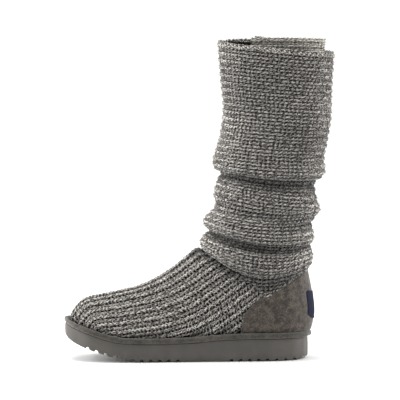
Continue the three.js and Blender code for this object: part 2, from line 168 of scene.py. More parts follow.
# Skin of the boot: a section runs from its ridge point to the opposite one. A point lies along that
# line by a power of the cosine of its angle, and out to the side by the same power of the sine.
def skin(table, place, angle, offset=0.0):
    place, angle, offset = np.broadcast_arrays(place, angle, offset)
    row = rowsAt(table, place)
    swing = row[..., 5] * boot["ballWidth"]
    ridge = np.stack([alongX(row[..., 0]), swing, upZ(row[..., 1])], -1)
    opposite = np.stack([alongX(row[..., 2]), swing, upZ(row[..., 3])], -1)
    span = np.linalg.norm(opposite - ridge, axis=-1)
    across = (opposite - ridge) / span[..., None]
    cosine, sine = np.cos(angle), np.sin(angle)
    power = 2 / np.where(cosine >= 0, row[..., 7], row[..., 8])
    reach = np.abs(cosine) ** power
    widest = row[..., 6]
    share = np.where(cosine >= 0, widest * (1 - reach), widest + (1 - widest) * reach)
    side = np.sign(sine) * np.abs(sine) ** power
    point = ridge + across * (share * (span + 2 * offset) - offset)[..., None]
    point[..., 1] -= side * (row[..., 4] * boot["ballWidth"] + offset)
    point[..., 2] -= row[..., 9] * boot["height"] * side ** 2
    return point


# Monotone curve through rows of (along, value): slopes are harmonic means of the neighbouring rates
def smoothLine(rows, along):
    points = np.array(rows, float)
    x, y = points[:, 0], points[:, 1]
    rate = np.diff(y) / np.diff(x)
    slope = np.concatenate([[rate[0]], np.zeros(len(x) - 2), [rate[-1]]])
    before, after = rate[:-1], rate[1:]
    rising = before * after > 0
    slope[1:-1][rising] = (2 * before * after)[rising] / (before + after)[rising]
    along = np.clip(along, x[0], x[-1])
    step = np.clip(np.searchsorted(x, along, side="right") - 1, 0, len(x) - 2)
    width = x[step + 1] - x[step]
    t = (along - x[step]) / width
    start = (2 * t ** 3 - 3 * t ** 2 + 1) * y[step] + (t ** 3 - 2 * t ** 2 + t) * width * slope[step]
    return start + (3 * t ** 2 - 2 * t ** 3) * y[step + 1] + (t ** 3 - t ** 2) * width * slope[step + 1]


def placed(name, data):
    made = bpy.data.objects.new(name, data)
    bpy.context.scene.collection.objects.link(made)
    return made


# A piece of the boot from points and faces, with optional loop UVs, in place of a node
def makePiece(name, points, faces, material, slot, node=None, uvs=None):
    mesh = bpy.data.meshes.new(name)
    mesh.from_pydata(points.reshape(-1, 3), [], faces)
    if uvs is not None:
        layer = mesh.uv_layers.new(name="UVMap")
        layer.data.foreach_set("uv", np.asarray(uvs, np.float32).ravel())
    mesh.polygons.foreach_set("use_smooth", np.full(len(mesh.polygons), True))
    mesh.validate()
    mesh.update()
    mesh.materials.append(material)
    piece = placed(name, mesh)
    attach(piece, "root")
    if node:
        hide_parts(node)
    print("made", name, len(mesh.polygons), "faces")
    return piece


# Quads of a grid of rows by columns; a closed way joins its last line to its first
def gridFaces(rows, columns, closedRows=False, closedColumns=False, turned=False):
    i = np.arange(rows if closedRows else rows - 1)[:, None]
    j = np.arange(columns if closedColumns else columns - 1)
    iNext, jNext = (i + 1) % rows, (j + 1) % columns
    corners = [i * columns + j, i * columns + jNext, iNext * columns + jNext, iNext * columns + j]
    quads = np.stack([np.broadcast_to(c, (i.size, j.size)) for c in corners], -1).reshape(-1, 4)
    return quads[:, ::-1] if turned else quads


# A closed sheet from the grids of its two sides: points and faces, with a rim that joins their edges
def closedSheet(over, under, turned=False):
    rows, columns = over.shape[:2]
    count = rows * columns
    index = np.arange(count).reshape(rows, columns)
    loop = np.concatenate([index[0, :-1], index[:-1, -1], index[-1, :0:-1], index[:0:-1, 0]])
    after = np.roll(loop, -1)
    rim = np.stack([after, loop, loop + count, after + count], -1)
    faces = np.concatenate([gridFaces(rows, columns), gridFaces(rows, columns, turned=True) + count, rim])
    points = np.concatenate([over.reshape(-1, 3), under.reshape(-1, 3)])
    return points, faces[:, ::-1] if turned else faces


# UVs of a grid's quads: u runs along the rows and v along the columns
def gridUvs(u, v):
    corners = [(u[:-1], v[:-1]), (u[:-1], v[1:]), (u[1:], v[1:]), (u[1:], v[:-1])]
    parts = [np.stack(np.meshgrid(a, b, indexing="ij"), -1) for a, b in corners]
    return np.stack(parts, 2).reshape(-1, 2)


# Linear colour of an sRGB hex colour
def linear(hexColour):
    parts = [int(hexColour[k:k + 2], 16) / 255 for k in (1, 3, 5)]
    return [p / 12.92 if p <= 0.04045 else ((p + 0.055) / 1.055) ** 2.4 for p in parts] + [1.0]


# A material with the given constants
def startMaterial(name, constants):
    material = bpy.data.materials.new(name)
    material.use_nodes = True
    surface = material.node_tree.nodes["Principled BSDF"]
    for key, value in constants.items():
        surface.inputs[key].default_value = value
    return material


# Adds a node; a socket takes a value or (node, output)
def addNode(material, kind, settings=None, sockets=None):
    tree = material.node_tree
    made = tree.nodes.new(kind)
    for key, value in (settings or {}).items():
        setattr(made, key, value)
    for key, value in (sockets or {}).items():
        if isinstance(value, tuple):
            tree.links.new(value[0].outputs[value[1]], made.inputs[key])
        else:
            made.inputs[key].default_value = value
    return made


def mathNode(material, operation, *values):
    return addNode(material, "ShaderNodeMath", {"operation": operation}, dict(enumerate(values)))


# A texture over the piece's own space, with scale cells in a metre
def textureNode(material, kind, scale, more={}, settings=None):
    place = addNode(material, "ShaderNodeTexCoord")
    return addNode(material, kind, settings, {"Vector": (place, "Object"), "Scale": scale, **more})


def noiseNode(material, scale, detail, roughness=0.5):
    return textureNode(material, "ShaderNodeTexNoise", scale, {"Detail": detail, "Roughness": roughness})


def rampNode(material, factor, *stops):
    ramp = addNode(material, "ShaderNodeValToRGB", None, {"Fac": factor})
    band = ramp.color_ramp
    while len(band.elements) < len(stops):
        band.elements.new(0.5)
    for element, (place, colour) in zip(band.elements, stops):
        element.position = place
        element.color = linear(colour)
    return ramp


# Gives a material its colour, and its bump from a height, a strength and a depth
def dress(material, colour, height, strength, depth):
    tree = material.node_tree
    surface = tree.nodes["Principled BSDF"]
    bump = addNode(material, "ShaderNodeBump", None, {
        "Height": height, "Strength": strength, "Distance": depth})
    tree.links.new(colour[0].outputs[colour[1]], surface.inputs["Base Color"])
    tree.links.new(bump.outputs["Normal"], surface.inputs["Normal"])
    return material


yarn = {
    "spun": ("#1f1c1a", "#827e78", "#ebe6de"),  # dark, middle and light flecks
    # the next tones are the same yarn painted lighter, as painted light on the turned-in facing
    "paintedLitTones": ("#7f7b75", "#cbc5bc", "#fbf6ee"),
    "stops": (0.34, 0.50, 0.68),  # where those lie in the tone
    "plyPitch": 0.0056,  # one turn of the two plies
    "plyTone": 0.16,  # how much lighter one ply is than the mean of both
    "fleck": 0.0021,  # length of a light or dark fleck
    "fuzz": 1800.0,  # fibres in a metre
}


# Marled acrylic and wool yarn, two plies of unlike grey spun together: light and dark flecks, dry, with
# a soft fuzz, dimmed by painted shade at holes and creases. deepest is the painted light left at the holes.
def marledYarn(name, tones, deepest):
    material = startMaterial(name, {
        "Roughness": 0.95, "Sheen Weight": 0.25, "Sheen Roughness": 0.6, "Specular IOR Level": 0.2})
    uv = addNode(material, "ShaderNodeUVMap", {"uv_map": "UVMap"})
    parts = addNode(material, "ShaderNodeSeparateXYZ", None, {"Vector": (uv, "UV")})
    turn = mathNode(material, "MULTIPLY", (parts, "X"), 1 / yarn["plyPitch"])
    both = mathNode(material, "MULTIPLY_ADD", (parts, "Y"), 2.0, (turn, 0))
    angle = mathNode(material, "MULTIPLY", (both, 0), 2 * math.pi)
    ply = mathNode(material, "SINE", (angle, 0))
    fleck = noiseNode(material, 1 / yarn["fleck"], 2.0, 0.6)
    tone = mathNode(material, "MULTIPLY_ADD", (ply, 0), yarn["plyTone"], (fleck, "Fac"))
    ramp = rampNode(material, (tone, 0), *zip(yarn["stops"], tones))
    fuzz = noiseNode(material, yarn["fuzz"], 2.0)
    height = mathNode(material, "MULTIPLY_ADD", (ply, 0), 0.5, (fuzz, "Fac"))
    # painted shade at the knit's holes and in its creases dims the yarn's colour
    sunk = addNode(material, "ShaderNodeAttribute", {"attribute_name": "sunk"})
    light = addNode(material, "ShaderNodeMapRange", None, {
        "Value": (sunk, "Fac"), "From Min": 0.0, "From Max": 1.0, "To Min": 1.0, "To Max": deepest})
    shade = addNode(material, "ShaderNodeAttribute", {"attribute_name": "shade"})
    dim = mathNode(material, "MULTIPLY", (light, "Result"), (shade, "Fac"))
    seen = addNode(
        material, "ShaderNodeVectorMath", {"operation": "SCALE"}, {0: (ramp, "Color"), "Scale": (dim, 0)})
    return dress(material, (seen, "Vector"), (height, 0), 0.6, 0.0004)


# The knit's ground between the ribs: purl loops deep in shade, a broken fabric painted near black as shade
def paintedShadeGround():
    material = startMaterial("paintedShadeGround", {"Roughness": 1.0, "Specular IOR Level": 0.1})
    fleck = noiseNode(material, 480.0, 3.0)
    ramp = rampNode(material, (fleck, "Fac"), (0.35, "#0d0d0c"), (0.65, "#211f1c"))
    return dress(material, (ramp, "Color"), (fleck, "Fac"), 0.8, 0.001)


suede = {
    "brown": ("#312d29", "#48423c", "#5f574f"),  # dark, middle and light strokes of the counter
    "grey": ("#3b3834", "#48453f", "#56534c"),  # the same of the binding
    "stops": (0.42, 0.50, 0.58),
    "speck": 620.0,  # tufts in a metre
    "speckShare": 0.9,  # their weight beside the strokes
    "nap": 1600.0,  # fibres in a metre
    "strokeHeight": 1.2,  # height of a stroke beside that of the nap
}


# Brushed split suede: a matt nap, blotched where it is stroked one way or the other
def brushedSuede(name, tones, blotch):
    material = startMaterial(name, {
        "Roughness": 0.95, "Sheen Weight": 0.35, "Sheen Roughness": 0.5, "Specular IOR Level": 0.2})
    stroke = noiseNode(material, 1 / blotch, 5.0, 0.68)
    speck = noiseNode(material, suede["speck"], 3.0, 0.7)
    mixed = mathNode(material, "MULTIPLY_ADD", (speck, "Fac"), suede["speckShare"], (stroke, "Fac"))
    mean = mathNode(material, "MULTIPLY", (mixed, 0), 0.526)
    ramp = rampNode(material, (mean, 0), *zip(suede["stops"], tones))
    nap = noiseNode(material, suede["nap"], 3.0)
    height = mathNode(material, "MULTIPLY_ADD", (stroke, "Fac"), suede["strokeHeight"], (nap, "Fac"))
    return dress(material, (ramp, "Color"), (height, 0), 0.5, 0.0004)


# Moulded EVA foam: a satin skin with a very fine grain
def mouldedFoam():
    material = startMaterial("mouldedFoam", {"Roughness": 0.62, "IOR": 1.48})
    cloud = noiseNode(material, 60.0, 4.0)
    ramp = rampNode(material, (cloud, "Fac"), (0.3, "#4f4c47"), (0.7, "#585550"))
    grain = noiseNode(material, 1400.0, 2.0)
    return dress(material, (ramp, "Color"), (grain, "Fac"), 0.35, 0.0003)


# Woven patch: fine crossing threads, a little lustrous
def wovenPatch():
    material = startMaterial("wovenPatch", {"Roughness": 0.85, "Specular IOR Level": 0.2})
    warp, weft = (
        textureNode(material, "ShaderNodeTexWave", 300.0, {}, {"bands_direction": way}) for way in "YZ")
    cross = mathNode(material, "MULTIPLY", (warp, "Fac"), (weft, "Fac"))
    ramp = rampNode(material, (cross, 0), (0.0, "#121326"), (1.0, "#262848"))
    return dress(material, (ramp, "Color"), (cross, 0), 0.4, 0.0002)


# Clipped wool pile on the insole, in soft curls
def woolPile():
    material = startMaterial("woolPile", {"Roughness": 1.0, "Sheen Weight": 0.4})
    curl = textureNode(material, "ShaderNodeTexVoronoi", 330.0)
    ramp = rampNode(material, (curl, "Distance"), (0.0, "#a39c91"), (0.7, "#6b665e"))
    return dress(material, (ramp, "Color"), (curl, "Distance"), 0.7, 0.002)


shaftYarn = marledYarn("shaftYarn", yarn["spun"], 0.0)
footYarn = marledYarn("footYarn", yarn["spun"], 0.0)
# The facing's yarn: the same yarn painted lighter and with little painted hole shade, as painted light inside
# the rim
facingYarn = marledYarn("facingYarn", yarn["paintedLitTones"], 0.9)
groundShadeMaterial = paintedShadeGround()
counterMaterial = brushedSuede("brushedSuede", suede["brown"], 0.006)
bindingMaterial = brushedSuede("bindingSuede", suede["grey"], 0.007)
foamMaterial = mouldedFoam()
patchMaterial = wovenPatch()
pileMaterial = woolPile()
print("materials made")

shaftRib = {
    "pitch": 0.00759,  # ridge to ridge
    "loop": 0.00474,  # stitch to stitch along a rib
    "yarn": 0.00102,  # radius of the yarn
    "reach": 0.50,  # half the length of a loop, as a share of that way
    "spread": 0.00060,  # how far a loop's head swings out on both sides
    "draw": 2.2,  # how tightly it is drawn in before it crosses
    "rise": 0.00030,  # height of a face loop, and depth of a back loop
    "slack": 0.00080,  # the same where the knit hangs slack
    "bead": 0.00030,  # how far a loop's legs stand over its head
    "dip": 0.00080,  # how deep the yarn sinks there
    "groove": 0.18,  # half the width of the painted shade between ribs, as a share of the pitch
    "bridge": 0.20,  # how much lighter the yarn stays over that painted shade
}
footRib = dict(
    shaftRib, pitch=0.0114, loop=0.00385, yarn=0.00092, spread=0.00070, draw=1.7, rise=0.00090, slack=0.00150,
    dip=0.00100, groove=0.13, bridge=0.35)
facingRib = dict(shaftRib, pitch=0.0060)
knit = {
    "depth": 0.0015,  # the yarn's middle line lies this far inside the skin
    "sides": 5,  # facets round the yarn
    "faceSteps": 12,  # steps along a loop's face, and along half of its back
    "backSteps": 3,
    "wobble": 0.00012,  # how far loops stray
    "strayHeight": 0.6,  # share of that by which their heights stray
    "sizeSpread": 0.05,  # how unlike the loops' lengths are, and the yarn's thickness
    "yarnSpread": 0.06,
    "dipWidth": 0.6,  # half the width of the dip at a crossing, in the loop's own angle
    "swell": 0.3,  # how much wider a slack rib is than the gap beside it
    "marlShift": 0.02,  # how far along the yarn a loop's marl may be shifted
    "nudge": 0.0004,  # step over which the surface's slope is taken
    "creaseLight": 0.3,  # share of painted light left in the deepest crease
}


# Rib knit over a surface, a strand of yarn for each loop: t from -pi to pi is a loop on the face, and on
# to 2 pi half a loop at the back. Across the ribs it runs as crossing * (t / pi) ** draw to t = pi, where
# crossing is pitch / 4 and more in slack knit, and likewise on to pitch / 2, plus spread * sin 2t. Along
# them it runs as reach * loop * cos t. Its height is rise * cos t/2 - bead * cos 2t * |cos t/2|, less a
# bell-shaped dip round the crossing. full, 0 to 1, is how slack a loop hangs, and shade its share of
# painted light.
def knitLoops(name, surface, across, along, random, rib, material, node, shade, full, inward=False):
    face = np.linspace(-1, 1, knit["faceSteps"] + 1)
    back = 1 + np.arange(1, knit["backSteps"] + 1) / knit["backSteps"]
    t = math.pi * np.concatenate([-back[::-1], face, back])
    count, full = len(across), full[:, None]
    stray = random.normal(0, knit["wobble"], (3, count, 1))
    size = 1 + random.normal(0, knit["sizeSpread"], (count, 1))
    turned = np.abs(t) > math.pi
    past = np.where(turned, 2 * math.pi - np.abs(t), np.abs(t)) / math.pi
    crossing = rib["pitch"] / 4 * (1 + knit["swell"] * full)
    drawn = past ** rib["draw"]
    u = np.where(turned, rib["pitch"] / 2 - (rib["pitch"] / 2 - crossing) * drawn, crossing * drawn)
    u = np.sign(t) * u + rib["spread"] * (1 + full) * np.sin(2 * t)
    u = across[:, None] + u + stray[0]
    v = along[:, None] + rib["reach"] * rib["loop"] * size * np.cos(t) + stray[1]
    rise = rib["rise"] + (rib["slack"] - rib["rise"]) * full
    out = rise * np.cos(t / 2) - rib["bead"] * np.cos(2 * t) * np.abs(np.cos(t / 2))
    out = out - rib["dip"] * np.exp(-((np.abs(t) - math.pi) / knit["dipWidth"]) ** 2)
    out = out - knit["depth"] + stray[2] * knit["strayHeight"]
    base = surface(u, v)
    runU = surface(u + knit["nudge"], v) - base
    runV = surface(u, v + knit["nudge"]) - base
    normal = unit(np.cross(runU, runV)) * (-1 if inward else 1)
    centre = base + normal * out[..., None]
    radius = rib["yarn"] * (1 + random.normal(0, knit["yarnSpread"], (count, 1, 1, 1)))
    ring = tubeRing(centre, normal) * radius
    points = centre[..., None, :] + ring
    offU = (u - across[:, None])[..., None] + (ring * unit(runU)[..., None, :]).sum(-1)
    offV = (v - along[:, None])[..., None] + (ring * unit(runV)[..., None, :]).sum(-1)
    faces, caps, uvs = tubeFaces(count, len(t), pathLengths(centre[0]), random)
    piece = makePiece(name, points, faces.tolist() + caps.tolist(), material, "knit", node, uvs)
    # painted shade by the knit's holes, read by the yarn's material to dim its colour
    addValues(piece, "sunk", holeShade(offU, offV, rib, crossing[..., None], full[..., None]))
    # painted shade in the creases and under folds, one value for each loop
    addValues(piece, "shade", np.broadcast_to(shade[:, None, None], (count, len(t), knit["sides"])))


# Painted shade by the holes of the knit, from how near a point of the yarn lies to one: a bell over its
# distance from the line of crossings, or in slack knit between the ribs, times 1 - bridge * (0.5 + 0.5 cos)
# of its way along
def holeShade(offU, offV, rib, crossing, full):
    line = np.exp(-((np.abs(offU) - crossing) / (rib["groove"] * rib["pitch"])) ** 2)
    slackLine = (0.5 - 0.5 * np.cos(2 * math.pi * offU / rib["pitch"])) ** 3
    line = np.maximum(line * (1 - full), slackLine * full)
    fromCrossing = 2 * math.pi * (offV / rib["loop"] + rib["reach"])
    return line * (1 - rib["bridge"] * (0.5 + 0.5 * np.cos(fromCrossing)))


# From a strand's middle line to the corners of its section: the normal turned round the line
def tubeRing(centre, normal):
    tangent = unit(np.gradient(centre, axis=1))
    side = unit(np.cross(tangent, normal))
    up = np.cross(side, tangent)
    turn = evenAngles(knit["sides"])
    return np.cos(turn)[:, None] * up[..., None, :] + np.sin(turn)[:, None] * side[..., None, :]


# Quads, end caps and UVs of strands: u is the length along the yarn
def tubeFaces(count, rows, length, random):
    columns = knit["sides"]
    quads = gridFaces(rows, columns, closedColumns=True)
    starts = (np.arange(count) * rows * columns)[:, None, None]
    faces = (quads + starts).reshape(-1, 4)
    ends = np.stack([np.arange(columns)[::-1], np.arange(columns) + (rows - 1) * columns])
    caps = (ends + starts).reshape(-1, columns)
    uvs = np.tile(gridUvs(length, np.arange(columns + 1) / columns), (count, 1))
    uvs[:, 0] += np.repeat(random.random(count), len(quads) * 4) * knit["marlShift"]
    return faces, caps, np.concatenate([uvs, np.zeros((caps.size, 2))])


# A value at every point of a piece, for its material to read
def addValues(piece, name, values):
    layer = piece.data.attributes.new(name, "FLOAT", "POINT")
    layer.data.foreach_set("value", np.ascontiguousarray(values, np.float32).ravel())


# Lookup of the shaft by distances, through tables of lengths along such lines: u climbs the inner side
# from the ankle seam, v goes round from the front by the outer side. Also the whole climb, and
# the loops' places round it.
def shaftMap():
    places = np.linspace(0, len(shaftRows) - 1, 2000)
    height = pathLengths(skin(shaftRows, places, math.pi / 2))
    angles = np.linspace(0, 2 * math.pi, 721)
    girth = pathLengths(skin(shaftRows, len(shaftRows) - 5, angles))
    columns = int(girth[-1] / shaftRib["loop"])
    loops = np.arange(columns) * girth[-1] / columns

    def surface(u, v, offset=0.0):
        place = np.interp(u, height, places)
        angle = np.interp(-v % girth[-1], girth, angles)
        return skin(shaftRows, place, angle, offset)

    return surface, height[-1], loops


# Lookup of the foot by distances, in the same way: u from the ridge round the section, v from the toe
# along the rib at u
def footMap():
    places = np.linspace(0, len(lastRows) - 1, 241)
    angles = np.linspace(0, math.pi, 601)
    net = skin(lastRows, places[:, None], angles)
    reach = np.stack([pathLengths(section) for section in net])
    distances = np.arange(0, 0.16, 0.0005)
    table = np.stack([np.interp(distances, line, angles) for line in reach])
    ribs = np.arange(0, 0.16, 0.004)
    alongs = np.arange(0, 0.3, 0.001)
    stations = []
    for rib in ribs:
        walk = skin(lastRows, places, np.array([np.interp(rib, line, angles) for line in reach]))
        stations.append(np.interp(alongs, pathLengths(walk), places))
    stations = np.stack(stations)

    def placeAt(u, v):
        return between(stations, np.abs(u) / ribs[1], v / alongs[1])

    def surface(u, v, offset=0.0):
        place = placeAt(u, v)
        angle = between(table, place / places[1], np.abs(u) / distances[1])
        return skin(lastRows, place, np.sign(u + 1e-12) * angle, offset)

    def lastReach(u, v):
        return np.interp(placeAt(u, v), places, reach[:, -1])

    return surface, lastReach


# The value in a table at a row and column between its own: its four neighbours, each by its nearness
def between(table, row, column):
    row = np.clip(row, 0, table.shape[0] - 1.001)
    column = np.clip(column, 0, table.shape[1] - 1.001)
    i, j = row.astype(int), column.astype(int)
    a, b = row - i, column - j
    near = table[i, j] * (1 - a) + table[i + 1, j] * a
    far = table[i, j + 1] * (1 - a) + table[i + 1, j + 1] * a
    return near * (1 - b) + far * b


# Height of the sole's top edge and of its underside, at shares of its length from the heel back
soleTopRows = [
    (0.00, 0.0236), (0.24, 0.02384), (0.38, 0.02242), (0.48, 0.0202), (0.64, 0.0192),
    (0.75, 0.0200), (0.83, 0.02395), (0.90, 0.02969), (0.96, 0.03504), (1.00, 0.0390),
]
undersideRows = [
    (-0.01, 0.0020), (0.03, 0.0006), (0.08, 0.0), (0.68, 0.0), (0.76, 0.0033),
    (0.83, 0.0075), (0.90, 0.0133), (0.96, 0.0195), (1.00, 0.0250),
]

# Half widths of the sole towards the inner and outer side, as shares of the ball's width
innerRows = [
    (0.00, 0.000), (0.02, 0.175), (0.07, 0.300), (0.16, 0.376), (0.30, 0.410), (0.45, 0.441), (0.60, 0.479),
    (0.70, 0.502), (0.80, 0.508), (0.89, 0.474), (0.955, 0.370), (0.988, 0.238), (1.00, 0.062),
]
outerRows = [
    (0.00, 0.000), (0.02, 0.175), (0.07, 0.302), (0.16, 0.380), (0.30, 0.416), (0.45, 0.452), (0.60, 0.486),
    (0.70, 0.488), (0.80, 0.456), (0.89, 0.392), (0.955, 0.284), (0.988, 0.136), (1.00, -0.062),
]


def soleTop(x):
    return smoothLine(soleTopRows, shareAlong(x))


def soleUnder(x):
    return smoothLine(undersideRows, shareAlong(x))


leg = {
    "underRim": 0.0008,  # the top loops lie this far under the rim,
    "overSeam": 0.001,  # and the lowest this far over the ankle seam,
    "lap": 0.0025,  # or this far under it where they cover the counter's edge, back from lapFrom
    "lapFrom": 0.19,
    "flare": 0.0024,  # how far the lowest loops stand out over that edge
    "flareHigh": 1.3,
    "flareHeight": 0.006,
    "flareFrom": 0.21,
    "flareRun": 0.008,
    "taut": 0.9,  # knit is taut where the way round the leg runs this straight along the boot
    "tautRun": 0.35,
    "tautStep": 0.002,
    "shadeSteps": (0.003, 0.006, 0.010, 0.014),  # how far over a loop a fold is looked for
    "deepest": 0.009,  # a fold that stands out this much leaves the least painted light
}


# Knit of the shaft: ribs go round the leg, loops stand in columns up it
def knitShaft():
    random = np.random.default_rng(boot["seed"])
    surface, climb, loops = shaftMap()
    ribs = np.arange(0.5, climb / shaftRib["pitch"]) * shaftRib["pitch"]
    u, v = (a.ravel() for a in np.meshgrid(ribs, loops, indexing="ij"))
    centre = surface(u, v)
    x, z = centre[:, 0], centre[:, 2]
    lap = np.where(x > alongX(leg["lapFrom"]), -leg["lap"], leg["overSeam"])
    kept = (z < rimHeight(centre) - leg["underRim"]) & (z > seamHeight(centre) + lap)
    u, v = u[kept], v[kept]
    # painted shade in the creases, dimming the yarn's colour
    shade = creaseShade(surface, u, v)
    way = surface(u, v + leg["tautStep"]) - surface(u, v)
    full = np.clip((leg["taut"] - np.abs(unit(way)[:, 0])) / leg["tautRun"], 0, 1)

    def flared(u, v):
        base = surface(u, v)
        near = leg["flareHigh"] - (base[..., 2] - seamHeight(base)) / leg["flareHeight"]
        back = (base[..., 0] - alongX(leg["flareFrom"])) / leg["flareRun"]
        return surface(u, v, leg["flare"] * np.clip(near, 0, 1) * np.clip(back, 0, 1))

    bands = np.array_split(np.arange(len(u)), 4)
    for name, band in zip(("low", "folds", "middle", "high"), bands):
        knitLoops(
            "shaft_knit_" + name, flared, u[band], v[band], random, shaftRib, shaftYarn, "shaft",
            shade[band], full[band])


# Painted shade in the creases: how far the skin a little higher up stands out over each loop, sideways,
# against the deepest crease; the painted light falls with the square root of that share
def creaseShade(surface, u, v):
    base = surface(u, v)
    outward = unit((surface(u, v, 0.001) - base) * [1, 1, 0])
    above = [np.sum((surface(u + step, v) - base) * outward, -1) for step in leg["shadeSteps"]]
    share = np.clip(np.max(above, axis=0) / leg["deepest"], 0, 1)
    return 1 - (1 - knit["creaseLight"]) * np.sqrt(share)


foot = {
    "halfGirth": 0.15,  # widest way from the ridge round one side
    "length": 0.25,  # longest rib before it is cut
    "toePitch": 0.90,  # the ribs run closer together at the toe by this share,
    "fan": (0.02, 0.11),  # and fan out between these distances from it
    "underEdge": 0.003,  # the last loops keep this far from the middle of the underside,
    "overSole": 0.004,  # over the sole's edge,
    "overSeam": 0.002,  # over the ankle seam at most,
    "counterGap": 0.003,  # and from the counter's front,
    "counterOver": 0.004,  # up to this far over its top
    "slack": 0.22,
    "foldShadow": 0.012,  # painted shade of the shaft's lowest fold covers this much of the foot under it
    "shadowTo": 0.17,
    "shadowRun": 0.02,
    # tucked and tuckShadow place painted shade on the knit just over the binding
    "tucked": 0.0062,  # the knit goes in behind the binding this far over the sole's edge,
    "tuckShadow": 0.006,  # under a shade of this height
}


# Knit of the foot: ribs run from toe to ankle, side by side from the ridge of the instep
def knitFoot():
    random = np.random.default_rng(boot["seed"] + 1)
    surface, lastReach = footMap()
    sideRibs = int(foot["halfGirth"] / footRib["pitch"])
    ribs = (np.arange(-sideRibs, sideRibs) + 0.5) * footRib["pitch"]
    loops = np.arange(0.5, foot["length"] / footRib["loop"]) * footRib["loop"]
    u, v = (a.ravel() for a in np.meshgrid(ribs, loops, indexing="ij"))

    def fan(v):
        return np.interp(v, foot["fan"], [foot["toePitch"], 1])

    def fanned(u, v):
        return surface(u * fan(v), v)

    centre = fanned(u, v)
    x, z = centre[:, 0], centre[:, 2]
    overSole, underSeam = z - soleTop(x), seamHeight(centre) - z
    counter = x > lineAcross(counterFront, z) + foot["counterGap"]
    counter &= underSeam > -foot["counterOver"]
    kept = np.abs(u) * fan(v) < lastReach(u * fan(v), v) - foot["underEdge"]
    kept &= (overSole > foot["overSole"]) & (underSeam > -foot["overSeam"]) & ~counter
    # Painted shade on the yarn: under the shaft's lowest fold towards the front, and over the binding where
    # the knit tucks in
    front = np.clip((alongX(foot["shadowTo"]) - x) / foot["shadowRun"], 0, 1)
    near = np.clip(1 - underSeam / foot["foldShadow"], 0, 1)
    tucked = np.clip(1 - (overSole - foot["tucked"]) / foot["tuckShadow"], 0, 1)
    dark = 1 - knit["creaseLight"]
    shade = (1 - dark * near * front) * (1 - dark * tucked)
    for name, chosen in (("inner", kept & (u > 0)), ("outer", kept & (u < 0))):
        full = np.full(np.count_nonzero(chosen), foot["slack"])
        knitLoops(
            "foot_knit_" + name, fanned, u[chosen], v[chosen], random, footRib, footYarn, "upper",
            shade[chosen], full)


knitShaft()
knitFoot()
print("knit made")


ground = {
    "depth": 0.0026,  # its outer side lies this far inside the skin
    "past": 0.0002,  # its inner side lies this far past the wall
    "underRim": 0.003,
    "underSeam": 0.0005,
}


# First of a table's places whose skin, at each angle, lies above a side view line
def placesAbove(table, first, last, count, angles, height):
    places = np.linspace(first, last, count)
    net = skin(table, places[:, None], angles)
    above = net[..., 2] > height(net)
    return np.where(above.any(axis=0), places[np.argmax(above, axis=0)], last)


def rimPlaces(angles, drop):
    return placesAbove(shaftRows, 12, len(shaftRows) - 1, 500, angles, lambda net: rimHeight(net) - drop)


# Ground of the knit as a closed wall in painted shade: up under the skin, over its top edge and back down
# inside
def groundWall(name, table, angles, lowest, highest, rows, node):
    share = np.linspace(0, 1, rows)
    shares = np.concatenate([share, share[::-1]])
    offsets = np.repeat([-ground["depth"], -boot["wall"] - ground["past"]], rows)
    place = lowest + (highest - lowest) * shares[:, None]
    points = skin(table, place, angles, offsets[:, None])
    faces = gridFaces(2 * rows, len(angles), True, True)
    makePiece(name, points, faces, groundShadeMaterial, "knit", node)


def makeGround():
    angles = evenAngles(120)
    seam = placesAbove(shaftRows, 0, 6, 400, angles, seamHeight)
    groundWall("shaft_ground", shaftRows, angles, seam, rimPlaces(angles, ground["underRim"]), 100, "shaft")
    angles = evenAngles(96)
    seam = placesAbove(
        lastRows, 0, len(lastRows) - 1, 600, angles, lambda net: seamHeight(net) - ground["underSeam"])
    groundWall("foot_ground", lastRows, angles, np.zeros(96), seam, 80, "upper")


makeGround()
print("ground made")

facing = {
    "from": -0.019,  # its ends along the boot
    "to": 0.055,
    "outerFrom": 0.006,  # it lies on the outer side of this y
    "drop": 0.040,
    "inside": 0.0054,  # how far inside the shaft's skin it lies
    "over": 0.0012,  # its top row stands this far over the rim
    "searchFrom": 0.6,  # its rows are looked for from this share of the climb
}


# Facing: the top edge turned in on the outer side, its knit in level rows inside the rim, in yarn painted
# lighter as painted light
def makeFacing():
    random = np.random.default_rng(boot["seed"] + 2)
    surface, climb, loops = shaftMap()

    def turnedIn(u, v):
        return surface(u, v, -facing["inside"])

    climbs = np.linspace(climb * facing["searchFrom"], climb, 300)
    line = turnedIn(climbs[:, None], loops)
    rows = np.arange(0.5, facing["drop"] / facingRib["pitch"])
    levels = upZ(1) + facing["over"] - rows * facingRib["pitch"]
    u = np.stack([np.interp(levels, line[:, k, 2], climbs) for k in range(len(loops))], 1).ravel()
    v = np.tile(loops, len(levels))
    x, y, _ = turnedIn(u, v).T
    kept = (y > facing["outerFrom"]) & (x > facing["from"]) & (x < facing["to"])
    u, v = u[kept], v[kept]
    knitLoops(
        "facing_knit", turnedIn, u, v, random, facingRib, facingYarn, None,
        np.ones(len(u)), np.zeros(len(u)), inward=True)


makeFacing()

rope = {
    "strand": 0.0012,  # radius of each strand
    "twist": 0.0010,  # distance of the strands from their common middle
    "pitch": 0.0052,  # one turn of the strands
    "inside": 0.0019,  # how far the middle lies inside the skin, and under the rim
    "underRim": 0.0016,
    "steps": 900,
    "sides": 6,
}


